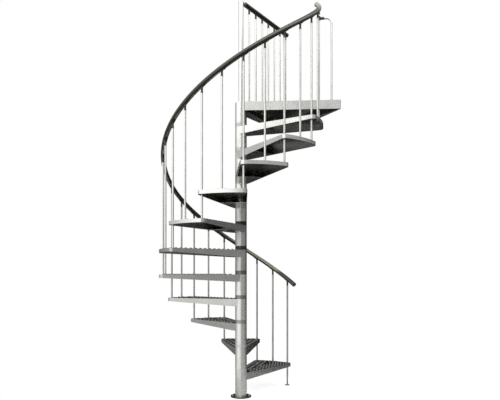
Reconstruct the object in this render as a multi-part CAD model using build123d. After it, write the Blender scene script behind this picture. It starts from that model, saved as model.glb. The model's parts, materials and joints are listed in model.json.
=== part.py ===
from build123d import *
import os
from math import asin, atan, cos, degrees, radians, sin, tan

os.makedirs("parts", exist_ok=True)

# Spiral stair, all lengths in millimetres and all angles in degrees.
# The column axis is Z and the floor is z = 0. Angles run anticlockwise from +X, seen from above.

# Layout of the flight
total_rise = 2526.0
tread_count = 11
tread_turn = 27.9
first_angle = 47.7
tip_radius = 700.0
baluster_inset = 35.0

# Column
column_diameter = 100.0
column_wall = 4.0
pole_diameter = 42.0
pole_below_rail = 4.0
pole_play = 0.25
ring_height = 33.5
hub_plate = 8.0
pole_cap_height = 5.0
pole_cap_bevel = 2.0

# Base flange
flange_diameter = 178.0
flange_thickness = 12.0
flange_bolt_circle_diameter = 142.0
flange_bolt_hole = 14.0
flange_bolt_count = 4

# Treads
tread_sheet = 3.0
tread_corner_margin = 26.0
tread_corner_radius = 34.0
tread_depth_at_column = 62.0
tread_depth_at_tip = 28.0
tread_closing_reach = 275.0

# Raised studs on the treads and the landing
stud_foot_diameter = 21.0
stud_height = 5.7
stud_sides = 6
stud_taper = 22.0
stud_pitch = 45.0
stud_edge_margin = 27.0
stud_column_gap = 12.0
stud_baluster_gap = 3.0

# Balusters and their sockets
baluster_diameter = 16.0
baluster_hole_play = 0.5
socket_diameter = 20.0
socket_height = 44.0
saddle_width = 14.0
saddle_uphill = 30.0
saddle_downhill = 14.0
saddle_thickness = 4.0
foot_diameter = 48.0
foot_thickness = 5.0

# Handrail
rail_diameter = 40.0
rail_flat_width = 22.0
rail_flats = 13
rail_over_nosing = 800.0
rail_overrun_bottom = 7.0
rail_overrun_top = 10.5
rail_seat_play = 0.25
cap_diameter = 42.0
cap_thickness = 8.0
cap_bevel = 2.5

# Landing
landing_lead = 1.9
landing_spread = 59.0
landing_beyond_tip = 17.0
landing_sheet = 4.0
landing_depth = 75.0
landing_corner_radius = 8.0
landing_rail_height = 876.0
landing_rail_gap = 42.0
landing_baluster_count = 7
landing_first_baluster = 130.0
landing_baluster_inset = 35.0
landing_rail_overhang = 24.0
landing_saddle_half = 14.0
bracket_diameter = 22.0

# Bent post beside the top of the flight
bent_post_arm_length = 105.5
bent_post_radius = 40.0
clamp_below_socket = 34.0
clamp_diameter = 27.0
clamp_height = 30.0
clamp_sleeve_diameter = 22.0
clamp_sleeve_length = 44.0
clamp_play = 0.15
clamp_web = 3.0

# Worked-out sizes
riser = total_rise / (tread_count + 1)
baluster_circle = tip_radius - baluster_inset
landing_reach = tip_radius + landing_beyond_tip
column_radius = column_diameter / 2
pole_radius = pole_diameter / 2
pole_bore = pole_radius + pole_play
hub_height = riser - ring_height
last_angle = first_angle + tread_count * tread_turn
half_step = tread_turn / 2
tread_half_angle = half_step + degrees(asin(tread_corner_margin / baluster_circle))
baluster_radius = baluster_diameter / 2
baluster_hole = baluster_radius + baluster_hole_play
stud_radius = stud_foot_diameter / 2
rail_radius = rail_diameter / 2
rail_flat_drop = (rail_radius**2 - (rail_flat_width / 2) ** 2) ** 0.5
rail_slope = degrees(atan(riser / (baluster_circle * radians(tread_turn))))
front_direction = last_angle + landing_lead
rear_direction = front_direction + landing_spread
landing_rail_z = total_rise + landing_rail_height
pole_top = landing_rail_z - pole_below_rail


def polar(radius, angle, z=0.0):
    """Point at a distance and a direction from the column axis."""
    return Vector(radius * cos(radians(angle)), radius * sin(radians(angle)), z)


def baluster_angle(number):
    """Direction of a baluster, counted from 0 at the foot of the flight."""
    return first_angle + number * half_step


def rail_centre_z(angle):
    """Height of the handrail's centre line over a direction."""
    return riser * (1 + (angle - first_angle) / tread_turn) + rail_over_nosing


def upright(radius, z_low, z_high):
    """Cylinder on the Z axis between two heights."""
    bar = Cylinder(radius, z_high - z_low, align=(Align.CENTER, Align.CENTER, Align.MIN))
    return Pos(0, 0, z_low) * bar


def save(name, *solids):
    """Write one sub-part as its own file."""
    shape = solids[0] if len(solids) == 1 else Compound(children=list(solids))
    shape.label = name
    export_step(shape, f"parts/{name}.step")


def with_hub(pan):
    """A pan joined to its tube of the column, which is closed at z = 0 by a plate round the pole."""
    body = pan + upright(column_radius, -hub_height, 0)
    body -= upright(column_radius - column_wall, -hub_height, -hub_plate)
    return body - upright(pole_bore, -hub_height, 0)


def base_flange():
    """Round plate on the floor with its bolt holes."""
    plate = upright(flange_diameter / 2, 0, flange_thickness)
    hole = upright(flange_bolt_hole / 2, 0, flange_thickness)
    places = PolarLocations(flange_bolt_circle_diameter / 2, flange_bolt_count)
    return plate - [place * hole for place in places]


def base_collar():
    """Ring between the flange and the lowest tread's hub."""
    return upright(column_radius, flange_thickness, ring_height) - upright(pole_bore, 0, ring_height)


def spacer_ring(top):
    """Ring that sits on a tread's hub."""
    return upright(column_radius, top, top + ring_height) - upright(pole_bore, top, top + ring_height)


def tread_outline():
    """Plan of a tread, pointing along +X, with rounded outer corners."""
    low = polar(tip_radius, -tread_half_angle)
    high = polar(tip_radius, tread_half_angle)
    edge = Wire(
        [
            Edge.make_line(Vector(0, -column_radius), low),
            Edge.make_three_point_arc(low, Vector(tip_radius, 0), high),
            Edge.make_line(high, Vector(0, column_radius)),
            Edge.make_line(Vector(0, column_radius), Vector(0, -column_radius)),
        ]
    )
    face = Face(edge)
    corners = face.vertices().filter_by(lambda corner: corner.X > column_radius)
    return face.fillet_2d(tread_corner_radius, corners)


def sloped_slab(lift, thickness):
    """Solid below the line that a tread's flanges follow, raised by a lift."""
    inner_x = column_radius
    outer_x = tip_radius
    low = -(tread_depth_at_column + thickness)
    section = make_face(
        Polyline(
            (-column_radius, lift - tread_depth_at_column),
            (inner_x, lift - tread_depth_at_column),
            (outer_x, lift - tread_depth_at_tip),
            (outer_x, low),
            (-column_radius, low),
            close=True,
        )
    )
    return extrude(Plane.XZ * section, amount=tip_radius, both=True)


def tread_pan():
    """Folded pan of a tread, its top at z = 0, with its flanges and the closed part near the column."""
    outline = tread_outline()
    inner = offset(outline, amount=-tread_sheet)
    cavity = extrude(inner, amount=-(tread_depth_at_column - tread_sheet))
    cavity = Pos(0, 0, -tread_sheet) * cavity
    below = sloped_slab(0, tread_sheet)
    pan = extrude(outline, amount=-tread_depth_at_column) - cavity - below
    closing = sloped_slab(tread_sheet, tread_sheet) & cavity
    closing -= below
    reach = Pos(tread_closing_reach / 2, 0, -tread_depth_at_column / 2)
    closing &= reach * Box(tread_closing_reach, tip_radius, 2 * tread_depth_at_column)
    return pan + closing


def stud():
    """Raised stud with flat sides, standing on z = 0."""
    return extrude(RegularPolygon(stud_radius, stud_sides), amount=stud_height, taper=stud_taper)


def stud_places(start, corner, feet):
    """Places of studs on a plan that points along +X, in rows along both side edges that meet in the middle.

    start and corner are the ends of the edge on the +Y side, and feet are the balusters to keep clear of.
    """
    along = (corner - start).normalized()
    inward = Vector(along.Y, -along.X)
    column_clear = column_radius + stud_column_gap + stud_radius
    foot_clear = baluster_radius + stud_baluster_gap + stud_radius
    count = int(2 * corner.length / stud_pitch)
    places = []
    for row in range(count):
        for step in range(count):
            distance = stud_pitch * (step + row % 2 / 2)
            place = start + along * distance + inward * (stud_edge_margin + stud_pitch * row)
            if place.Y > stud_radius and place.length > column_clear:
                places += [place, Vector(place.X, -place.Y)]
    return [place for place in places if all((place - foot).length > foot_clear for foot in feet)]


def with_studs(body, places):
    """A tread or the landing with studs on its top at z = 0."""
    shape = stud()
    return body + [Pos(place) * shape for place in places]


def tread_stud_places():
    """Places of the studs on a tread that points along +X."""
    feet = [polar(baluster_circle, side * half_step) for side in (-1, 0, 1)]
    places = stud_places(Vector(0, column_radius), polar(tip_radius, tread_half_angle), feet)
    return [place for place in places if place.length < tip_radius - stud_edge_margin]


def tread():
    """A tread with its hub, which points along +X with its top at z = 0."""
    body = with_hub(tread_pan())
    body -= Pos(polar(baluster_circle, -half_step)) * upright(baluster_hole, -tread_depth_at_column, 0)
    return with_studs(body, tread_stud_places())


def placed_tread(number, shape):
    """A tread at its place in the flight."""
    return Pos(0, 0, number * riser) * Rot(0, 0, baluster_angle(2 * number - 1)) * shape


def rail_section():
    """Section of the handrail, Y up: narrow flats round a circle and a wide one underneath."""
    opening = degrees(asin(rail_flat_width / rail_diameter))
    step = (360 - 2 * opening) / rail_flats
    corners = [polar(rail_radius, opening - 90 + n * step) for n in range(rail_flats + 1)]
    return make_face(Polyline(*corners, close=True))


def rail_path(start_angle, end_angle):
    """Helix over the balusters."""
    span = end_angle - start_angle
    path = Edge.make_helix(
        pitch=riser * 360 / tread_turn,
        height=riser * span / tread_turn,
        radius=baluster_circle,
    )
    return path.rotate(Axis.Z, start_angle).translate(Vector(0, 0, rail_centre_z(start_angle)))


def rail_plane(angle):
    """Plane across the handrail at a direction, with its X axis pointing outwards."""
    level = Vector(-sin(radians(angle)), cos(radians(angle)), 0)
    along = level * cos(radians(rail_slope)) + Vector(0, 0, sin(radians(rail_slope)))
    return Plane(polar(baluster_circle, angle, rail_centre_z(angle)), x_dir=polar(1, angle), z_dir=along)


def handrail(start_angle, end_angle):
    """Handrail between two directions."""
    section = rail_section()
    if rail_plane(start_angle).y_dir.Z < 0:
        section = Rot(0, 0, 180) * section
    return sweep(rail_plane(start_angle) * section, path=rail_path(start_angle, end_angle), is_frenet=True)


def end_cap():
    """Bevelled cap that closes a rail's end, standing on z = 0."""
    cap = upright(cap_diameter / 2, 0, cap_thickness)
    return chamfer(cap.edges().group_by(Axis.Z)[-1], cap_bevel)


def rail_end_cap(angle, downhill):
    """Cap on an end of the handrail."""
    plane = rail_plane(angle)
    if downhill:
        plane = Plane(plane.origin, x_dir=plane.x_dir, z_dir=-plane.z_dir)
    return plane.location * end_cap()


def socket(slope, uphill, downhill):
    """Socket of a baluster under a rail, with the rail's centre at the origin and uphill along +X."""
    drop = (rail_flat_drop + rail_seat_play) / cos(radians(slope))
    body = upright(socket_diameter / 2, -socket_height - drop, 0)
    seat = Pos(0, 0, -drop) * Rot(0, -slope, 0)
    above = 2 * socket_height
    body -= seat * Box(above, above, above, align=(Align.CENTER, Align.CENTER, Align.MIN))
    length = uphill + downhill
    saddle = Box(length, saddle_width, saddle_thickness, align=(Align.CENTER, Align.CENTER, Align.MAX))
    return body + seat * Pos((uphill - downhill) / 2, 0, 0) * saddle


def socket_bottom(slope):
    """Height of a socket's lower face under the rail's centre."""
    return (rail_flat_drop + rail_seat_play) / cos(radians(slope)) + socket_height


def baluster(angle, foot_z):
    """Round bar from a foot height up into the underside of its socket."""
    top = rail_centre_z(angle) - socket_bottom(rail_slope)
    return Pos(polar(baluster_circle, angle)) * upright(baluster_radius, foot_z, top)


def placed_socket(angle, shape):
    """Socket under the handrail at a direction."""
    return Pos(polar(baluster_circle, angle, rail_centre_z(angle))) * Rot(0, 0, angle + 90) * shape


def landing_edge(side):
    """Inner and outer end of a side edge of the landing, which points along +X; side is 1 towards +Y."""
    half = radians(landing_spread / 2)
    inner = column_radius / cos(half)
    return Vector(0, side * inner), Vector(landing_reach, side * (inner + landing_reach * tan(half)))


def landing_outline():
    """Plan of the landing: two edges that touch the column and a straight outer edge."""
    low, high = landing_edge(-1), landing_edge(1)
    face = make_face(Polyline(low[0], low[1], high[1], high[0], close=True))
    corners = face.vertices().filter_by(lambda corner: corner.X > column_radius)
    return fillet(corners, landing_corner_radius)


def landing_stud_places(direction):
    """Places of the studs on the landing, turned back so that it points along +X."""
    feet = [polar(baluster_circle, last_angle), bent_post_points()[0]]
    feet += [polar(distance, rear_direction) for distance in landing_positions()]
    turned_back = [Vector(foot.X, foot.Y).rotate(Axis.Z, -direction) for foot in feet]
    places = stud_places(*landing_edge(1), turned_back)
    return [place for place in places if place.X < landing_reach - stud_edge_margin]


def landing():
    """Triangular landing pan with its studs and its hub."""
    outline = landing_outline()
    inner = offset(outline, amount=-landing_sheet)
    pan = extrude(outline, amount=-landing_depth)
    pan -= Pos(0, 0, -landing_sheet) * extrude(inner, amount=-landing_depth)
    direction = (front_direction + rear_direction) / 2
    passing = polar(baluster_circle, last_angle - direction)
    body = with_hub(pan) - Pos(passing) * upright(baluster_hole, -landing_depth, 0)
    body = with_studs(body, landing_stud_places(direction))
    return Pos(0, 0, total_rise) * Rot(0, 0, direction) * body


def landing_positions():
    """Distances of the landing's balusters from the column axis, along the rear edge's direction."""
    last = (landing_reach - landing_baluster_inset) / cos(radians(landing_spread / 2))
    pitch = (last - landing_first_baluster) / (landing_baluster_count - 1)
    return [landing_first_baluster + i * pitch for i in range(landing_baluster_count)]


def landing_baluster(distance):
    """Baluster of the landing's rear edge."""
    top = landing_rail_z - socket_bottom(0)
    return Pos(polar(distance, rear_direction)) * upright(baluster_radius, total_rise, top)


def landing_socket(distance, shape):
    """Socket under the landing's rail."""
    return Pos(polar(distance, rear_direction, landing_rail_z)) * Rot(0, 0, rear_direction) * shape


def landing_rail_plane(distance):
    """Plane across the landing's rail."""
    origin = polar(distance, rear_direction, landing_rail_z)
    return Plane(origin, x_dir=-polar(1, rear_direction + 90), z_dir=polar(1, rear_direction))


def landing_rail(start, end):
    """Straight rail along the landing's rear edge."""
    plane = landing_rail_plane(start)
    section = rail_section()
    if plane.y_dir.Z < 0:
        section = Rot(0, 0, 180) * section
    return extrude(plane * section, amount=end - start)


def landing_rail_bracket(start):
    """Bar that carries the landing's rail on the central pole."""
    bar = landing_rail_plane(0).location * upright(bracket_diameter / 2, 0, start)
    return bar - upright(pole_radius, 0, landing_rail_z + rail_diameter)


def bent_post_points():
    """Foot, bend and end of the bent post's centre line."""
    arm_z = rail_centre_z(last_angle) - socket_bottom(rail_slope) - clamp_below_socket
    held = polar(baluster_circle, last_angle, arm_z)
    bend = held + polar(bent_post_arm_length, front_direction)
    foot = Vector(bend.X, bend.Y, total_rise)
    end = held + polar(baluster_radius + clamp_play + clamp_web, front_direction)
    return foot, bend, end


def bent_post():
    """Bar that rises from the landing and bends over to the last baluster."""
    foot, bend, end = bent_post_points()
    path = FilletPolyline(foot, bend, end, radius=bent_post_radius)
    return sweep(Plane(foot, z_dir=Vector(0, 0, 1)) * Circle(baluster_radius), path=path)


def bent_post_clamp():
    """Clamp round the last baluster that holds the end of the bent post."""
    foot, bend, end = bent_post_points()
    middle = polar(baluster_circle, last_angle, bend.Z)
    along = (bend - end).normalized()
    bore = baluster_radius + clamp_play
    body = Pos(middle) * upright(clamp_diameter / 2, -clamp_height / 2, clamp_height / 2)
    sleeve = upright(clamp_sleeve_diameter / 2, 0, clamp_sleeve_length)
    body += Plane(middle, z_dir=along).location * sleeve
    body -= Pos(middle) * upright(bore, -clamp_height, clamp_height)
    return body - Plane(end, z_dir=along).location * upright(bore, 0, clamp_sleeve_length)


def pole_cap(low):
    """Cap on the top of the central pole."""
    cap = upright(pole_radius, low, low + pole_cap_height)
    return chamfer(cap.edges().group_by(Axis.Z)[-1], pole_cap_bevel)


def build():
    """Make every sub-part and write it."""
    save("base_flange", base_flange())
    save("base_collar", base_collar())
    save("central_pole", upright(pole_radius, flange_thickness, pole_top))
    save("pole_cap", pole_cap(pole_top))
    save("spacer_rings", *[spacer_ring(n * riser) for n in range(1, tread_count + 1)])
    step = tread()
    for number in range(1, tread_count + 1):
        save(f"tread_{number:02d}", placed_tread(number, step))
    save("landing", landing())
    count = 2 * tread_count + 1
    save("floor_baluster", baluster(first_angle, foot_thickness))
    foot = upright(foot_diameter / 2, 0, foot_thickness)
    save("floor_baluster_foot", Pos(polar(baluster_circle, first_angle)) * foot)
    middle = [n for n in range(1, count) if n % 2]
    corner = [n for n in range(1, count) if not n % 2]
    save("middle_balusters", *[baluster(baluster_angle(n), (n + 1) / 2 * riser) for n in middle])
    save("corner_balusters", *[baluster(baluster_angle(n), n / 2 * riser) for n in corner])
    stair_socket = socket(rail_slope, saddle_uphill, saddle_downhill)
    save("baluster_sockets", *[placed_socket(baluster_angle(n), stair_socket) for n in range(count)])
    low_end = first_angle - rail_overrun_bottom
    high_end = last_angle + rail_overrun_top
    save("handrail", handrail(low_end, high_end))
    save("handrail_caps", rail_end_cap(low_end, True), rail_end_cap(high_end, False))
    save("landing_balusters", *[landing_baluster(d) for d in landing_positions()])
    level_socket = socket(0, landing_saddle_half, landing_saddle_half)
    save("landing_sockets", *[landing_socket(d, level_socket) for d in landing_positions()])
    rail_start = pole_radius + landing_rail_gap
    rail_end = landing_positions()[-1] + landing_rail_overhang
    save("landing_rail", landing_rail(rail_start, rail_end))
    save("landing_rail_cap", landing_rail_plane(rail_end).location * end_cap())
    save("landing_rail_bracket", landing_rail_bracket(rail_start))
    save("bent_post", bent_post())
    save("bent_post_clamp", bent_post_clamp())


build()
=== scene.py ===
import json
from math import asin, atan, cos, degrees, pi, radians, sin, tan

import bmesh
import bpy
from mathutils import Matrix, Vector


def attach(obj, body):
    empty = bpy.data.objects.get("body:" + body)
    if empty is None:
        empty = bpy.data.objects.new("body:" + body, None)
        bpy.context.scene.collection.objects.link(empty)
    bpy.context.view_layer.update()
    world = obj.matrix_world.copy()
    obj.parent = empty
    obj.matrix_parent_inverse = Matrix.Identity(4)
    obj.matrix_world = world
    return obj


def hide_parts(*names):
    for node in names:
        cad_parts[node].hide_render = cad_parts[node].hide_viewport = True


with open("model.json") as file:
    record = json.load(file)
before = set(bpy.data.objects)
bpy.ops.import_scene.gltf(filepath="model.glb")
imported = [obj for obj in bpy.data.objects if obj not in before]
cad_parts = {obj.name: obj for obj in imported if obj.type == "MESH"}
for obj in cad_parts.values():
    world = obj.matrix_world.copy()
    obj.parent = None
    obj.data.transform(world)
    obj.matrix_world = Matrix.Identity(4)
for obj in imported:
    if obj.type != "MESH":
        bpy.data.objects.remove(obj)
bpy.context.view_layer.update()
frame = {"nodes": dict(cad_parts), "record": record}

# Camera, in metres: level, in front of the stair, with the frame shifted up and to the right
camera_place = (-0.0617, -4.729, 1.053)
photo_width = 500
photo_height = 400
focal_pixels = 549.1
axis_pixel_x = 233.8
horizon_pixel_y = 274.4
sensor_width = 36.0
view_reach = 100

# Stair sizes repeated from the CAD source, in metres and degrees
total_rise = 2.526
tread_count = 11
tread_turn = 27.9
first_angle = 47.7
tip_radius = 0.700
baluster_circle = 0.665
column_radius = 0.050
pole_radius = 0.021
flange_thickness = 0.012
flange_bolt_circle = 0.071
flange_bolt_count = 4
tread_sheet = 0.003
tread_corner_margin = 0.026
baluster_radius = 0.008
socket_radius = 0.010
socket_height = 0.044
saddle_uphill = 0.030
saddle_downhill = 0.014
saddle_half_width = 0.007
saddle_thickness = 0.004
foot_thickness = 0.005
rail_radius = 0.020
rail_flat_half = 0.011
rail_seat_play = 0.00025
rail_over_nosing = 0.800
rail_overrun_bottom = 7.0
rail_overrun_top = 10.5
cap_radius = 0.021
cap_thickness = 0.008
landing_lead = 1.9
landing_spread = 59.0
landing_reach = 0.717
landing_sheet = 0.004
landing_rail_height = 0.876
landing_rail_gap = 0.042
landing_baluster_count = 7
landing_first_baluster = 0.130
landing_baluster_inset = 0.035
landing_rail_overhang = 0.024
landing_saddle_half = 0.014
bent_post_arm = 0.1055
stud_radius = 0.0105
stud_pitch = 0.045
stud_edge_margin = 0.027
stud_column_gap = 0.012
stud_baluster_gap = 0.003
riser = total_rise / (tread_count + 1)
half_step = tread_turn / 2
tread_half_angle = half_step + degrees(asin(tread_corner_margin / baluster_circle))
last_angle = first_angle + tread_count * tread_turn
front_direction = last_angle + landing_lead
rear_direction = front_direction + landing_spread
landing_direction = (front_direction + rear_direction) / 2
landing_rail_z = total_rise + landing_rail_height
rail_slope = atan(riser / (baluster_circle * radians(tread_turn)))
rail_flat_drop = (rail_radius**2 - rail_flat_half**2) ** 0.5
baluster_total = 2 * tread_count + 1
baluster_bevel = baluster_radius / 10

# Painted shade in darker zinc: so many of the lowest treads and balusters, and the hubs of these treads
shaded_treads = 6
shaded_bars = 9
shaded_hubs = (6, 7, 8)

# Raised holes, in metres: a collar of this form sits over each stud, seated in the plate
hole_radius = 0.0062
hole_cut_reach = 0.012
collar_height = 0.0062
collar_seat = 0.0012

# Parts of a folded plate, in the order of its materials
hub_part, hollow_part, top_part, rim_part, outside_part = range(5)

# Where those parts lie in a plate's own frame, in metres, and how far their faces' normals rise
hollow_middle_x = 0.4
hollow_depth = 0.045
hole_wall_depth = 0.005
top_play = 0.001
hub_play = 0.002
wall_rise = 0.1
underside_rise = -0.9
top_rise = 0.99

# Points nearer than this, in metres, are one
weld_distance = 1e-6

# Trim of rails and balusters, in metres
core_half = 0.0088
core_height = 0.003
core_proud = 0.0002
rail_shade_y = -0.003
cap_flat_radius = 0.004
bar_in_socket = 0.002

# Saddle of a socket, in shares: its tips' thickness, its level part downhill and uphill, and its tips' width
saddle_tip = 0.4
saddle_level_downhill = 0.7
saddle_level_uphill = 0.5
saddle_tip_width = 0.6

# Fasteners and bushes, in metres, with shares of a nut's radius and height
nut_radius = 0.0075
nut_height = 0.006
anchor_radius = 0.0085
anchor_height = 0.004
washer_thickness = 0.0014
washer_share = 1.5
nut_flat_share = 0.85
nut_crown_share = 0.86
bolt_share = 0.55
bolt_tip_share = 0.5
bolt_rise_share = 1.5
nut_sides = 6
bush_half_height = 0.001
bush_rim = 0.0036
bush_shoulder = 0.002
bush_top = 0.0022

# Fineness of round shapes, and the angle in degrees from which an edge is sharp
hole_sides = 16
bar_sides = 20
bolt_sides = 12
cap_sides = 32
rail_sides = 40
rail_steps = 110
sharp_angle = 35.0
flat_face_weight = 100


def baluster_angle(number):
    """Direction of a baluster in degrees, counted from 0 at the foot of the flight."""
    return first_angle + number * half_step


def polar(radius, angle, z=0.0):
    """Point at a distance and a direction from the column axis."""
    return Vector((radius * cos(radians(angle)), radius * sin(radians(angle)), z))


def rail_centre_z(angle):
    """Height of the handrail's centre line over a direction."""
    return riser * (1 + (angle - first_angle) / tread_turn) + rail_over_nosing


def socket_bottom(slope):
    """Depth of a socket's lower face below the rail's centre."""
    return (rail_flat_drop + rail_seat_play) / cos(slope) + socket_height


def landing_positions():
    """Distances of the landing's balusters from the column axis."""
    last = (landing_reach - landing_baluster_inset) / cos(radians(landing_spread / 2))
    pitch = (last - landing_first_baluster) / (landing_baluster_count - 1)
    return [landing_first_baluster + i * pitch for i in range(landing_baluster_count)]


def bent_post_foot():
    """Point of the plan where the bent post stands on the landing."""
    return polar(baluster_circle, last_angle) + polar(bent_post_arm, front_direction)


def make_camera():
    """Camera at the photo's viewing angle."""
    data = bpy.data.cameras.new("camera")
    data.sensor_width = sensor_width
    data.lens = focal_pixels * sensor_width / photo_width
    data.shift_x = (photo_width / 2 - axis_pixel_x) / photo_width
    data.shift_y = (horizon_pixel_y - photo_height / 2) / photo_width
    data.clip_end = view_reach
    camera = bpy.data.objects.new("camera", data)
    camera.location = camera_place
    camera.rotation_euler = (pi / 2, 0, 0)
    bpy.context.scene.collection.objects.link(camera)
    bpy.context.scene.camera = camera


class Nodes:
    """A short way to build a node tree."""

    # Sockets of a Mix node that hold colours: its two inputs and its output
    mix_first = 6
    mix_second = 7
    mix_result = 2

    def __init__(self, tree):
        self.tree = tree
        self.tree.nodes.clear()

    def add(self, kind, inputs=None, **settings):
        """New node with its settings, and its inputs by name."""
        node = self.tree.nodes.new(kind)
        for name, value in settings.items():
            setattr(node, name, value)
        for name, value in (inputs or {}).items():
            self.put(node.inputs[name], value)
        return node

    def put(self, socket, value):
        """Link a socket to an output, or set it to a constant."""
        if isinstance(value, bpy.types.NodeSocket):
            self.tree.links.new(value, socket)
        else:
            socket.default_value = value

    def math(self, operation, first, second=0.0):
        """Result of a sum on one or two values."""
        node = self.add("ShaderNodeMath", operation=operation)
        self.put(node.inputs[0], first)
        self.put(node.inputs[1], second)
        return node.outputs[0]

    def fit(self, value, low, high, to_low=0.0, to_high=1.0):
        """Map a range of a value onto another, with the ends held."""
        node = self.add("ShaderNodeMapRange", {"Value": value})
        for name, number in (("From Min", low), ("From Max", high), ("To Min", to_low), ("To Max", to_high)):
            self.put(node.inputs[name], number)
        return node.outputs["Result"]

    def ramp(self, factor, stops):
        """Grey levels along a factor."""
        node = self.add("ShaderNodeValToRGB")
        elements = node.color_ramp.elements
        while len(elements) < len(stops):
            elements.new(0.5)
        for element, (place, level) in zip(elements, stops):
            element.position = place
            element.color = grey(level)
        self.put(node.inputs["Fac"], factor)
        return node.outputs["Color"]

    def noise(self, coords, scale, detail=2.0, roughness=0.5):
        """Noise from 0 to 1 at a point."""
        settings = {"Vector": coords, "Scale": scale, "Detail": detail, "Roughness": roughness}
        return self.add("ShaderNodeTexNoise", settings).outputs["Fac"]

    def mix(self, factor, first, second, blend="MIX"):
        """Blend of two colours."""
        node = self.add("ShaderNodeMix", data_type="RGBA", blend_type=blend)
        self.put(node.inputs["Factor"], factor)
        self.put(node.inputs[self.mix_first], first)
        self.put(node.inputs[self.mix_second], second)
        return node.outputs[self.mix_result]

    def height(self, coords):
        """Z of a point."""
        return self.add("ShaderNodeSeparateXYZ", {"Vector": coords}).outputs["Z"]

    def bump(self, height, strength):
        """Normal of a surface with fine relief."""
        settings = {"Height": height, "Strength": strength, "Distance": bump_distance}
        return self.add("ShaderNodeBump", settings).outputs["Normal"]

    def finish(self, shader):
        """Give the material its surface."""
        self.add("ShaderNodeOutputMaterial", {"Surface": shader})


def grey(level):
    """Grey colour with full alpha."""
    return (level, level, level, 1)


def new_material(name):
    """Material with an empty node tree, and the tree's builder."""
    material = bpy.data.materials.new(name)
    material.use_nodes = True
    return material, Nodes(material.node_tree)


# Zinc: scales are features a metre, and the lighter and darker tones are shares of a steel's own
bump_distance = 0.001
zinc_tint = (0.997, 1.000, 0.955)
zinc_roughness = 0.25
zinc_metallic = 0.95
cloud_scale = 9.0
cloud_detail = 3.0
cloud_range = (0.35, 0.65)
spangle_scale = 95.0
zinc_grain_scale = 420.0
zinc_noise_roughness = 0.6
zinc_grain_strength = 0.012
cloud_dark = 0.95
cloud_light = 1.04
spangle_light = 1.2
spangle_share = 0.10
cloud_roughness = 0.04
spangle_roughness = 0.01


def zinc(level):
    """Colour of zinc of a given lightness."""
    return (*[level * part for part in zinc_tint], 1)


def make_galvanised(name, level):
    """Hot-dip galvanised steel: clouds between two greys, faint spangles and a fine grain."""
    material, n = new_material(name)
    place = n.add("ShaderNodeTexCoord").outputs["Object"]
    clouds = n.noise(place, cloud_scale, cloud_detail, zinc_noise_roughness)
    cells = n.add("ShaderNodeTexVoronoi", {"Vector": place, "Scale": spangle_scale, "Randomness": 1.0})
    spangle = n.add("ShaderNodeSeparateColor", {"Color": cells.outputs["Color"]}).outputs["Red"]
    grain = n.noise(place, zinc_grain_scale, roughness=zinc_noise_roughness)
    tone = n.mix(n.fit(clouds, *cloud_range), zinc(level * cloud_dark), zinc(level * cloud_light))
    tone = n.mix(n.math("MULTIPLY", spangle, spangle_share), tone, zinc(level * spangle_light))
    cloud_part = n.math("MULTIPLY", clouds, cloud_roughness)
    rough = n.math("ADD", cloud_part, n.math("MULTIPLY", spangle, spangle_roughness))
    inputs = {
        "Base Color": tone,
        "Metallic": zinc_metallic,
        "Roughness": n.math("ADD", rough, zinc_roughness),
        "Normal": n.bump(grain, zinc_grain_strength),
    }
    n.finish(n.add("ShaderNodeBsdfPrincipled", inputs).outputs["BSDF"])
    return material


# Spacer rings: lightness by share of the stair's rise, pale at the foot and the top and dark in the middle,
# which is painted shade
ring_shade_tones = [
    (0.10, 0.65),
    (0.18, 0.60),
    (0.255, 0.33),
    (0.34, 0.23),
    (0.43, 0.14),
    (0.48, 0.06),
    (0.60, 0.03),
    (0.65, 0.48),
]
ring_cloud_scale = 30.0
ring_cloud_range = (0.2, 0.8)
ring_grain_scale = 500.0
ring_cloud_share = 0.2
ring_cloud_tone = 0.75
ring_metallic = 0.8
ring_smooth = 0.3
ring_rough = 0.42
grain_strength = 0.05


def make_ring_material():
    """Spacer rings of mixed plastics and metal, with painted shade that darkens the middle ones."""
    material, n = new_material("spacer_ring")
    place = n.add("ShaderNodeTexCoord").outputs["Object"]
    clouds = n.noise(place, ring_cloud_scale)
    grain = n.noise(place, ring_grain_scale)
    tone = n.ramp(n.math("DIVIDE", n.height(place), total_rise), ring_shade_tones)
    tone = n.mix(1.0, tone, zinc(1.0), "MULTIPLY")
    tone = n.mix(n.math("MULTIPLY", clouds, ring_cloud_share), tone, grey(ring_cloud_tone), "MULTIPLY")
    inputs = {
        "Base Color": tone,
        "Metallic": ring_metallic,
        "Roughness": n.fit(clouds, *ring_cloud_range, ring_smooth, ring_rough),
        "Normal": n.bump(grain, grain_strength),
    }
    n.finish(n.add("ShaderNodeBsdfPrincipled", inputs).outputs["BSDF"])
    return material


# Lightness of the handrail's cover by height in metres, with painted highlights:
# a lower end a little lighter, a run with painted sheen, then dark until the painted highlight of the top
# end
rail_top_z = 3.45
handrail_highlight_tones = [
    (1.00, 0.030),
    (1.078, 0.030),
    (1.084, 0.280),
    (1.28, 0.240),
    (1.40, 0.080),
    (1.48, 0.008),
    (3.10, 0.012),
    (3.20, 0.040),
    (3.28, 0.260),
    (3.36, 0.450),
]
landing_rail_tones = [(0.0, 0.012), (rail_top_z, 0.012)]
fitting_tones = [(0.0, 0.030), (rail_top_z, 0.030)]
plastic_tint = (1.00, 1.00, 0.82)
plastic_grain_scale = 520.0
plastic_cloud_share = 0.5
plastic_cloud_tone = 0.7
plastic_cloud_roughness = 0.1


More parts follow.
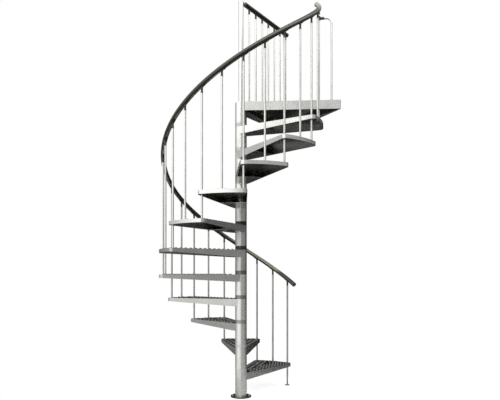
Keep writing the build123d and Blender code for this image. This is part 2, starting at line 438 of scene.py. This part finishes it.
def make_plastic(name, tones, roughness, ior):
    """Moulded or extruded plastic with a lightness by height, which is painted highlight on the handrail,
    faint clouds and a faint grain.
    """
    material, n = new_material(name)
    place = n.add("ShaderNodeTexCoord").outputs["Object"]
    clouds = n.noise(place, cloud_scale, cloud_detail)
    grain = n.noise(place, plastic_grain_scale)
    stops = [(z / rail_top_z, level) for z, level in tones]
    tone = n.ramp(n.math("DIVIDE", n.height(place), rail_top_z), stops)
    tone = n.mix(1.0, tone, (*plastic_tint, 1), "MULTIPLY")
    clouding = n.math("MULTIPLY", clouds, plastic_cloud_share)
    tone = n.mix(clouding, tone, grey(plastic_cloud_tone), "MULTIPLY")
    rough = n.math("MULTIPLY", clouds, plastic_cloud_roughness)
    inputs = {
        "Base Color": tone,
        "Roughness": n.math("ADD", rough, roughness - plastic_cloud_roughness / 2),
        "IOR": ior,
        "Specular Tint": (*plastic_tint, 1),
        "Normal": n.bump(grain, grain_strength),
    }
    n.finish(n.add("ShaderNodeBsdfPrincipled", inputs).outputs["BSDF"])
    return material


def make_world():
    """Plain white background."""
    world = bpy.data.worlds.new("white")
    world.use_nodes = True
    bpy.context.scene.world = world
    n = Nodes(world.node_tree)
    back = n.add("ShaderNodeBackground", {"Color": grey(1.0), "Strength": 1.0})
    n.add("ShaderNodeOutputWorld", {"Surface": back.outputs["Background"]})


def stage_object(name, bm, material):
    """Object of the studio, which isn't part of the stair."""
    mesh = bpy.data.meshes.new(name)
    bm.to_mesh(mesh)
    bm.free()
    mesh.materials.append(material)
    piece = bpy.data.objects.new(name, mesh)
    bpy.context.scene.collection.objects.link(piece)
    return piece


studio_radius = 9.0
studio_centre_z = 1.1
studio_peak = 3.0
studio_segments = 64
studio_rows = 32
# Brightness round the studio by direction in degrees: low down, at eye level and overhead
studio_low = [
    (0, 0.24), (15, 0.16), (32, 0.08), (60, 0.03), (99, 0.03), (112, 0.18), (140, 0.38), (172, 0.65),
    (190, 1.00), (208, 1.25), (258, 1.15), (266, 0.70), (274, 0.42), (335, 0.42), (360, 0.24),
]
studio_ring = [
    (0, 0.27), (15, 0.18), (32, 0.09), (60, 0.035), (99, 0.04), (112, 0.18), (145, 0.45), (172, 0.70),
    (190, 1.05), (208, 1.35), (235, 1.30), (258, 1.30), (266, 0.90), (274, 0.38), (300, 0.40), (335, 0.38),
    (360, 0.27),
]
studio_top = [
    (0, 2.00), (40, 0.60), (90, 0.20), (135, 0.40), (180, 1.20), (230, 2.20), (270, 3.00), (315, 3.00),
    (360, 2.60),
]
# Heights over the studio's centre, in shares of its radius, where one band passes into the next
low_to_ring = (-0.10, 0.02)
ring_to_top = (0.50, 0.75)
dim_to_plain = (-0.55, -0.38)
ring_brightening = (0.0, 0.45)
ring_gain = 1.4
bottom_dimming = 0.2


def make_studio():
    """Round studio: softboxes at the front left and overhead, and dark cards at the back and low down."""
    material, n = new_material("studio_light")
    place = n.add("ShaderNodeNewGeometry").outputs["Position"]
    parts = n.add("ShaderNodeSeparateXYZ", {"Vector": place})
    turn = n.math("ARCTAN2", parts.outputs["Y"], parts.outputs["X"])
    around = n.math("FRACT", n.math("ADD", n.math("DIVIDE", turn, 2 * pi), 1.0))
    height = n.math("DIVIDE", n.math("SUBTRACT", parts.outputs["Z"], studio_centre_z), studio_radius)
    low, ring, top = [
        n.ramp(around, [(angle / 360, level / studio_peak) for angle, level in stops])
        for stops in (studio_low, studio_ring, studio_top)
    ]
    side = n.math("MULTIPLY", ring, n.fit(height, *ring_brightening, 1.0, ring_gain))
    level = n.mix(n.fit(height, *ring_to_top), side, top)
    level = n.mix(n.fit(height, *low_to_ring), low, level)
    dim = n.fit(height, *dim_to_plain, bottom_dimming, 1.0)
    level = n.math("MULTIPLY", n.math("MULTIPLY", level, dim), studio_peak)
    n.finish(n.add("ShaderNodeEmission", {"Color": grey(1.0), "Strength": level}).outputs["Emission"])
    bm = bmesh.new()
    bmesh.ops.create_uvsphere(
        bm, u_segments=studio_segments, v_segments=studio_rows, radius=studio_radius
    )
    studio = stage_object("studio", bm, material)
    studio.location.z = studio_centre_z
    studio.visible_camera = False
    material.cycles.emission_sampling = "NONE"


# Floor: its greys for the camera and for all else, and where it fades, in shares of its radius
floor_radius = 1.15
floor_z = -0.0005
floor_sides = 96
floor_glow = 0.80
floor_seen_grey = 0.5
floor_lit_grey = 0.6
floor_fade = (0.75, 0.98)


def make_floor():
    """Plain pale floor with the stair's soft shadow, which fades into the white background at its rim."""
    material, n = new_material("pale_floor")
    is_camera = n.add("ShaderNodeLightPath").outputs["Is Camera Ray"]
    place = n.add("ShaderNodeNewGeometry").outputs["Position"]
    reach = n.add("ShaderNodeVectorMath", {"Vector": place}, operation="LENGTH").outputs["Value"]
    rim = n.fit(reach, floor_fade[0] * floor_radius, floor_fade[1] * floor_radius)
    matt = n.add("ShaderNodeBsdfDiffuse", {"Color": grey(floor_seen_grey)})
    paper = n.add("ShaderNodeBsdfDiffuse", {"Color": grey(floor_lit_grey)})
    inner = n.add("ShaderNodeEmission", {"Color": grey(1.0), "Strength": floor_glow})
    lit = n.add("ShaderNodeAddShader")
    n.put(lit.inputs[0], matt.outputs["BSDF"])
    n.put(lit.inputs[1], inner.outputs["Emission"])
    white = n.add("ShaderNodeEmission", {"Color": grey(1.0), "Strength": 1.0})
    seen = n.add("ShaderNodeMixShader", {"Fac": rim})
    n.put(seen.inputs[1], lit.outputs["Shader"])
    n.put(seen.inputs[2], white.outputs["Emission"])
    both = n.add("ShaderNodeMixShader", {"Fac": is_camera})
    n.put(both.inputs[1], paper.outputs["BSDF"])
    n.put(both.inputs[2], seen.outputs["Shader"])
    n.finish(both.outputs["Shader"])
    bm = bmesh.new()
    bmesh.ops.create_circle(bm, cap_ends=True, segments=floor_sides, radius=floor_radius)
    floor = stage_object("floor", bm, material)
    floor.location.z = floor_z


def dress(node, material):
    """Give a CAD node its material."""
    data = frame["nodes"][node].data
    if not data.materials:
        data.materials.append(material)
    for slot in frame["nodes"][node].material_slots:
        slot.material = material


def add_piece(name, bm, materials, replaces=()):
    """Mesh piece of the stair, smooth but for its sharp edges, with its flat faces kept flat."""
    mesh = bpy.data.meshes.new(name)
    bmesh.ops.recalc_face_normals(bm, faces=bm.faces)
    for edge in bm.edges:
        edge.smooth = edge.calc_face_angle(pi) < radians(sharp_angle)
    for face in bm.faces:
        face.smooth = True
    bm.to_mesh(mesh)
    bm.free()
    for material in materials:
        mesh.materials.append(material)
    piece = bpy.data.objects.new(name, mesh)
    bpy.context.scene.collection.objects.link(piece)
    normals = piece.modifiers.new("normals", "WEIGHTED_NORMAL")
    normals.keep_sharp = True
    normals.weight = flat_face_weight
    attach(piece, "root")
    if replaces:
        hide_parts(*replaces)


def loft(bm, loops, closed=False):
    """Skin of quads over loops of points with as many points each, capped at both ends unless closed."""
    rings = [[bm.verts.new(point) for point in loop] for loop in loops]
    following = rings[1:] + rings[:1] if closed else rings[1:]
    for low, high in zip(rings, following):
        for i in range(len(low)):
            j = (i + 1) % len(low)
            bm.faces.new((low[i], low[j], high[j], high[i]))
    if not closed:
        bm.faces.new(list(reversed(rings[0])))
        bm.faces.new(rings[-1])


def turned(bm, place, profile, sides, closed=False):
    """Turned solid on a frame's Z axis, from a profile of radii and heights."""
    circle = [(cos(2 * pi * i / sides), sin(2 * pi * i / sides)) for i in range(sides)]
    loft(bm, [[place @ Vector((r * x, r * y, z)) for x, y in circle] for r, z in profile], closed)


def standing(point):
    """Frame at a point, upright."""
    return Matrix.Translation(point)


def upright_bar(bm, point, low, high):
    """Baluster between two heights, with slightly broken edges."""
    profile = [
        (baluster_radius - baluster_bevel, low),
        (baluster_radius, low + baluster_bevel),
        (baluster_radius, high - baluster_bevel),
        (baluster_radius - baluster_bevel, high),
    ]
    turned(bm, standing((point.x, point.y, 0)), profile, bar_sides)


def stud_places(start, corner, feet):
    """Places of studs on a plan that points along +X, in rows along both side edges that meet in the middle.

    start and corner are the ends of the edge on the +Y side, and feet are the balusters to keep clear of.
    """
    along = (corner - start).normalized()
    inward = Vector((along.y, -along.x, 0))
    column_clear = column_radius + stud_column_gap + stud_radius
    foot_clear = baluster_radius + stud_baluster_gap + stud_radius
    count = int(2 * corner.length / stud_pitch)
    places = []
    for row in range(count):
        for step in range(count):
            distance = stud_pitch * (step + row % 2 / 2)
            place = start + along * distance + inward * (stud_edge_margin + stud_pitch * row)
            if place.y > stud_radius and place.length > column_clear:
                places += [place, Vector((place.x, -place.y, 0))]
    return [place for place in places if all((place - foot).length > foot_clear for foot in feet)]


def tread_stud_places():
    """Places of the studs on a tread that points along +X."""
    feet = [polar(baluster_circle, side * half_step) for side in (-1, 0, 1)]
    places = stud_places(Vector((0, column_radius, 0)), polar(tip_radius, tread_half_angle), feet)
    return [place for place in places if place.length < tip_radius - stud_edge_margin]


def landing_stud_places():
    """Places of the studs on the landing, turned back so that it points along +X."""
    half = radians(landing_spread / 2)
    inner = column_radius / cos(half)
    start = Vector((0, inner, 0))
    corner = Vector((landing_reach, inner + landing_reach * tan(half), 0))
    feet = [polar(baluster_circle, last_angle), bent_post_foot()]
    feet += [polar(distance, rear_direction) for distance in landing_positions()]
    turn = Matrix.Rotation(-radians(landing_direction), 3, "Z")
    places = stud_places(start, corner, [turn @ foot for foot in feet])
    return [place for place in places if place.x < landing_reach - stud_edge_margin]


def cut_holes(mesh, holes):
    """Mesh with round holes through its top plate at z = 0."""
    base = bpy.data.objects.new("base", mesh)
    bm = bmesh.new()
    profile = [(hole_radius, -hole_cut_reach), (hole_radius, hole_cut_reach)]
    for hole in holes:
        turned(bm, standing(hole), profile, hole_sides)
    bmesh.ops.recalc_face_normals(bm, faces=bm.faces)
    cutter_mesh = bpy.data.meshes.new("cutter")
    bm.to_mesh(cutter_mesh)
    bm.free()
    cutter = bpy.data.objects.new("cutter", cutter_mesh)
    for piece in (base, cutter):
        bpy.context.scene.collection.objects.link(piece)
    cut = base.modifiers.new("holes", "BOOLEAN")
    cut.object = cutter
    cut.solver = "EXACT"
    view = bpy.context.evaluated_depsgraph_get()
    result = bpy.data.meshes.new_from_object(base.evaluated_get(view))
    for piece in (base, cutter):
        bpy.data.objects.remove(piece)
    return result


def add_collars(bm, holes):
    """Raised rims round the holes, whose inner walls belong to the hollow underneath and take its painted
    shade.
    """
    profile = [
        (hole_radius + 0.0048, -collar_seat),
        (hole_radius + 0.0045, 0.0006),
        (hole_radius + 0.0032, collar_height - 0.0018),
        (hole_radius + 0.0022, collar_height - 0.0004),
        (hole_radius + 0.0014, collar_height),
        (hole_radius + 0.0003, collar_height - 0.0010),
        (hole_radius - 0.0003, -collar_seat),
    ]
    plate_faces = len(bm.faces)
    for hole in holes:
        turned(bm, standing(hole), profile, hole_sides, closed=True)
    bm.faces.ensure_lookup_table()
    collar_faces = hole_sides * len(profile)
    outer_faces = hole_sides * (len(profile) - 2)
    for index, face in enumerate(bm.faces[plate_faces:]):
        face.material_index = rim_part if index % collar_faces < outer_faces else hollow_part


def sort_faces(bm):
    """Give each face of a folded plate, with its top at z = 0, the part that it belongs to."""
    for face in bm.faces:
        centre = face.calc_center_median()
        rise = face.normal.z
        is_wall = abs(rise) < wall_rise
        outwards = Vector((centre.x - hollow_middle_x, centre.y, 0)).dot(face.normal)
        in_hole = is_wall and centre.z > -hole_wall_depth
        faces_hollow = rise < underside_rise or is_wall and outwards < 0
        in_hollow = faces_hollow and centre.z > -hollow_depth
        if centre.z > -top_play and rise > top_rise:
            face.material_index = top_part
        elif centre.xy.length > column_radius + hub_play:
            face.material_index = hollow_part if in_hole or in_hollow else outside_part
        else:
            face.material_index = hub_part


def punched(node, place, holes):
    """Mesh of a CAD node in its own frame, with raised holes through its top plate."""
    bm = bmesh.new()
    bm.from_mesh(frame["nodes"][node].data)
    bmesh.ops.remove_doubles(bm, verts=bm.verts, dist=weld_distance)
    bm.transform(place.inverted())
    mesh = bpy.data.meshes.new(node + "_blank")
    bm.to_mesh(mesh)
    bm.free()
    shape = bmesh.new()
    shape.from_mesh(cut_holes(mesh, holes))
    sort_faces(shape)
    add_collars(shape, holes)
    result = bpy.data.meshes.new(node + "_punched")
    shape.to_mesh(result)
    shape.free()
    result.attributes.remove(result.attributes["custom_normal"])
    return result


def turned_to(direction, z):
    """Frame on the column axis that points in a direction, with its origin at a height."""
    return Matrix.Translation((0, 0, z)) @ Matrix.Rotation(radians(direction), 4, "Z")


def tread_frame(number):
    """Frame of a tread, with the plate's top at z = 0."""
    return turned_to(baluster_angle(2 * number - 1), number * riser)


def make_treads():
    """Eleven treads with raised holes, each in the place of its CAD node."""
    template = punched("tread_01", tread_frame(1), tread_stud_places())
    for number in range(1, tread_count + 1):
        bm = bmesh.new()
        bm.from_mesh(template)
        bm.transform(tread_frame(number))
        node = f"tread_{number:02d}"
        # Painted shade: darker zinc on the middle hubs, and on the flanges and rims of the lowest treads
        hub = painted_shade_steel if number in shaded_hubs else galvanised
        rims, outside = (lower_shaded_rims, painted_shade_steel) if number <= shaded_treads else (upper_shaded_rims, galvanised)
        add_piece(f"{node}_steel", bm, [hub, hollow_shade_steel, shaded_top_steel, rims, outside], [node])


def make_landing():
    """Landing with raised holes like the treads'."""
    place = turned_to(landing_direction, total_rise)
    bm = bmesh.new()
    bm.from_mesh(punched("landing", place, landing_stud_places()))
    bm.transform(place)
    # Painted shade: dark zinc on the hollow underneath, on the top and on the rims
    steels = [galvanised, shaded_steel, shaded_top_steel, upper_shaded_rims, galvanised]
    add_piece("landing_steel", bm, steels, ["landing"])


def rail_frame(angle):
    """Frame across the handrail: X inwards, Y up and Z uphill."""
    level = Vector((-sin(radians(angle)), cos(radians(angle)), 0))
    along = level * cos(rail_slope) + Vector((0, 0, sin(rail_slope)))
    inward = -polar(1, angle)
    up = along.cross(inward)
    rows = Matrix((inward, up, along)).transposed().to_4x4()
    return Matrix.Translation(polar(baluster_circle, angle, rail_centre_z(angle))) @ rows


def landing_rail_frame(distance):
    """Frame across the landing's rail: Y up and Z outwards."""
    along = polar(1, rear_direction)
    up = Vector((0, 0, 1))
    rows = Matrix((up.cross(along), up, along)).transposed().to_4x4()
    return Matrix.Translation(polar(distance, rear_direction, landing_rail_z)) @ rows


def rail_section():
    """Section of a rail's cover: a circle with a flat underneath."""
    opening = asin(rail_flat_half / rail_radius)
    step = (2 * pi - 2 * opening) / rail_sides
    angles = [opening - pi / 2 + i * step for i in range(rail_sides + 1)]
    return [Vector((rail_radius * cos(a), rail_radius * sin(a), 0)) for a in angles]


def shade_underside(bm, section):
    """Give the lower part of a lofted rail the second material."""
    for index, face in enumerate(bm.faces):
        here = section[index % len(section)]
        after = section[(index + 1) % len(section)]
        face.material_index = int((here.y + after.y) / 2 < rail_shade_y)


def core_section():
    """Section of the steel strip in a rail's flat underside."""
    low = -rail_flat_drop - core_proud
    high = low + core_height
    corners = ((-core_half, low), (core_half, low), (core_half, high), (-core_half, high))
    return [Vector((x, y, 0)) for x, y in corners]


def cap_profile():
    """Profile of a rail's end cap with a rounded rim."""
    return [
        (cap_radius - 0.0010, 0),
        (cap_radius, 0.0008),
        (cap_radius, cap_thickness - 0.0030),
        (cap_radius - 0.0012, cap_thickness - 0.0012),
        (cap_radius - 0.0034, cap_thickness - 0.0001),
        (cap_flat_radius, cap_thickness),
    ]


def make_handrail():
    """Smooth helical rail with its steel strip and its end caps."""
    low_end = first_angle - rail_overrun_bottom
    high_end = last_angle + rail_overrun_top
    frames = [rail_frame(low_end + (high_end - low_end) * i / rail_steps) for i in range(rail_steps + 1)]
    cover, core, caps = bmesh.new(), bmesh.new(), bmesh.new()
    loft(cover, [[f @ point for point in rail_section()] for f in frames])
    loft(core, [[f @ point for point in core_section()] for f in frames])
    shade_underside(cover, rail_section())
    turned(caps, frames[-1], cap_profile(), cap_sides)
    turned(caps, frames[0] @ Matrix.Rotation(pi, 4, "Y"), cap_profile(), cap_sides)
    add_piece("handrail_cover", cover, [rail_plastic, dark_plastic], ["handrail"])
    add_piece("handrail_core", core, [galvanised])
    add_piece("handrail_end_caps", caps, [rail_plastic], ["handrail_caps"])


def make_landing_rail():
    """Straight rail over the landing's rear edge, with its steel strip and its cap."""
    start = pole_radius + landing_rail_gap
    end = landing_positions()[-1] + landing_rail_overhang
    frames = [landing_rail_frame(start), landing_rail_frame(end)]
    cover, core, cap = bmesh.new(), bmesh.new(), bmesh.new()
    loft(cover, [[f @ point for point in rail_section()] for f in frames])
    loft(core, [[f @ point for point in core_section()] for f in frames])
    turned(cap, frames[1], cap_profile(), cap_sides)
    add_piece("landing_rail_cover", cover, [dark_plastic], ["landing_rail"])
    add_piece("landing_rail_core", core, [galvanised])
    add_piece("landing_rail_end_cap", cap, [dark_plastic], ["landing_rail_cap"])


def add_socket(bm, frame_at, slope, uphill, downhill):
    """Sleeve with a rim on a baluster's head, and the saddle that runs along the rail's underside."""
    head = frame_at.to_translation()
    low = -socket_bottom(slope)
    profile = [
        (socket_radius - 0.0012, low),
        (socket_radius, low + 0.0008),
        (socket_radius, low + 0.0040),
        (socket_radius - 0.0014, low + 0.0056),
        (socket_radius - 0.0018, low + 0.0300),
        (socket_radius - 0.0004, low + socket_height - 0.0030),
        (socket_radius - 0.0004, low + socket_height + 0.0020),
    ]
    turned(bm, standing(head), profile, bar_sides)
    top = -rail_flat_drop - rail_seat_play
    # Places along the saddle, and its thickness there as a share of the whole
    stations = [
        (-downhill, saddle_tip),
        (-downhill * saddle_level_downhill, 1.0),
        (uphill * saddle_level_uphill, 1.0),
        (uphill, saddle_tip),
    ]
    loops = []
    for along, share in stations:
        half = saddle_half_width * (saddle_tip_width + (1 - saddle_tip_width) * share)
        low_y = top - saddle_thickness * share
        corners = ((-half, low_y), (half, low_y), (half, top), (-half, top))
        loops.append([frame_at @ Vector((x, y, along)) for x, y in corners])
    loft(bm, loops)


def make_sockets():
    """Sockets under both rails."""
    stair, level = bmesh.new(), bmesh.new()
    for number in range(baluster_total):
        add_socket(stair, rail_frame(baluster_angle(number)), rail_slope, saddle_uphill, saddle_downhill)
    for distance in landing_positions():
        add_socket(level, landing_rail_frame(distance), 0.0, landing_saddle_half, landing_saddle_half)
    add_piece("stair_sockets", stair, [fitting_plastic], ["baluster_sockets"])
    add_piece("landing_rail_sockets", level, [fitting_plastic], ["landing_sockets"])


def baluster_foot(number):
    """Height at which a baluster of the flight stands."""
    return foot_thickness if number == 0 else riser * ((number + 1) // 2)


def make_balusters():
    """Round bars of the flight, the lowest darkened with painted shade, and of the landing."""
    groups = {
        "floor_baluster": [0],
        "middle_balusters": range(1, baluster_total, 2),
        "corner_balusters": range(2, baluster_total, 2),
    }
    for node, numbers in groups.items():
        bm = bmesh.new()
        for number in numbers:
            angle = baluster_angle(number)
            top = rail_centre_z(angle) - socket_bottom(rail_slope) + bar_in_socket
            first_face = len(bm.faces)
            upright_bar(bm, polar(baluster_circle, angle), baluster_foot(number), top)
            bm.faces.ensure_lookup_table()
            for face in bm.faces[first_face:]:
                face.material_index = int(number < shaded_bars)
        add_piece(node + "_bars", bm, [galvanised, painted_shade_steel], [node])
    bm = bmesh.new()
    for distance in landing_positions():
        top = landing_rail_z - socket_bottom(0.0) + bar_in_socket
        upright_bar(bm, polar(distance, rear_direction), total_rise, top)
    add_piece("landing_baluster_bars", bm, [galvanised], ["landing_balusters"])


def add_nut(bm, point, z, upwards, radius=nut_radius, height=nut_height):
    """Hexagonal nut and bolt's end on a washer: above a plate where upwards is 1, and below it where -1."""
    place = standing((point.x, point.y, z)) @ Matrix.Diagonal((1, 1, upwards, 1))
    nut_top = washer_thickness + height
    washer = [(radius * washer_share, 0), (radius * washer_share, washer_thickness)]
    nut = [
        (radius, washer_thickness),
        (radius, washer_thickness + height * nut_flat_share),
        (radius * nut_crown_share, nut_top),
    ]
    bolt = [
        (radius * bolt_share, nut_top),
        (radius * bolt_tip_share, washer_thickness + height * bolt_rise_share),
    ]
    turned(bm, place, washer, bar_sides)
    turned(bm, place, nut, nut_sides)
    turned(bm, place, bolt, bolt_sides)


def make_fasteners():
    """Nuts under the treads and the landing, and anchors on the floor plate."""
    bm = bmesh.new()
    for number in range(1, baluster_total):
        add_nut(bm, polar(baluster_circle, baluster_angle(number)), baluster_foot(number) - tread_sheet, -1)
    for distance in landing_positions():
        add_nut(bm, polar(distance, rear_direction), total_rise - landing_sheet, -1)
    add_nut(bm, bent_post_foot(), total_rise - landing_sheet, -1)
    for number in range(flange_bolt_count):
        place = polar(flange_bolt_circle, 360 * number / flange_bolt_count)
        add_nut(bm, place, flange_thickness, 1, anchor_radius, anchor_height)
    add_piece("nuts", bm, [galvanised])


def make_bushes():
    """Plastic bushes where the corner balusters pass through the treads and the landing."""
    bm = bmesh.new()
    profile = [
        (baluster_radius, -bush_half_height),
        (baluster_radius + bush_rim, -bush_half_height),
        (baluster_radius + bush_rim, bush_half_height),
        (baluster_radius + bush_shoulder, bush_top),
        (baluster_radius, bush_top),
    ]
    for number in range(tread_count + 1):
        place = standing(polar(baluster_circle, baluster_angle(2 * number), riser * (number + 1)))
        turned(bm, place, profile, bar_sides, closed=True)
    add_piece("baluster_bushes", bm, [fitting_plastic])


make_camera()
make_world()
make_studio()
make_floor()
galvanised = make_galvanised("galvanised_steel", 0.66)
# Darker zinc that paints shade on the lowest treads and balusters and on some hubs
painted_shade_steel = make_galvanised("painted_shade_steel", 0.46)
# Dark zinc that paints the shade in the treads' hollows underneath and in their holes
hollow_shade_steel = make_galvanised("hollow_shade_steel", 0.30)
shaded_steel = make_galvanised("shaded_steel", 0.09)
# Dark zinc that paints shade and dark reflection on the tops of the treads and the landing and on the floor
# plate
shaded_top_steel = make_galvanised("shaded_top_steel", 0.13)
# Darker zinc for the raised rims, as painted shade: darkest on the lowest treads, lighter higher up
lower_shaded_rims = make_galvanised("lower_shaded_rims", 0.22)
upper_shaded_rims = make_galvanised("upper_shaded_rims", 0.36)
ring_plastic = make_ring_material()
rail_plastic = make_plastic("rail_plastic", handrail_highlight_tones, 0.30, 1.65)
dark_plastic = make_plastic("dark_plastic", landing_rail_tones, 0.30, 1.5)
fitting_plastic = make_plastic("fitting_plastic", fitting_tones, 0.45, 1.5)
finishes = {
    "galvanised": galvanised,
    "spacer_ring": ring_plastic,
    "rail_cover": rail_plastic,
    "rail_fitting": fitting_plastic,
}
for part in frame["record"]["subparts"]:
    dress(part["node"], finishes[part["material_slot"]])
# The floor plate's darkness is painted shade
dress("base_flange", shaded_top_steel)
make_treads()
make_landing()
make_handrail()
make_landing_rail()
make_sockets()
make_balusters()
make_fasteners()
make_bushes()

scene = bpy.context.scene
scene.view_settings.view_transform = "Standard"
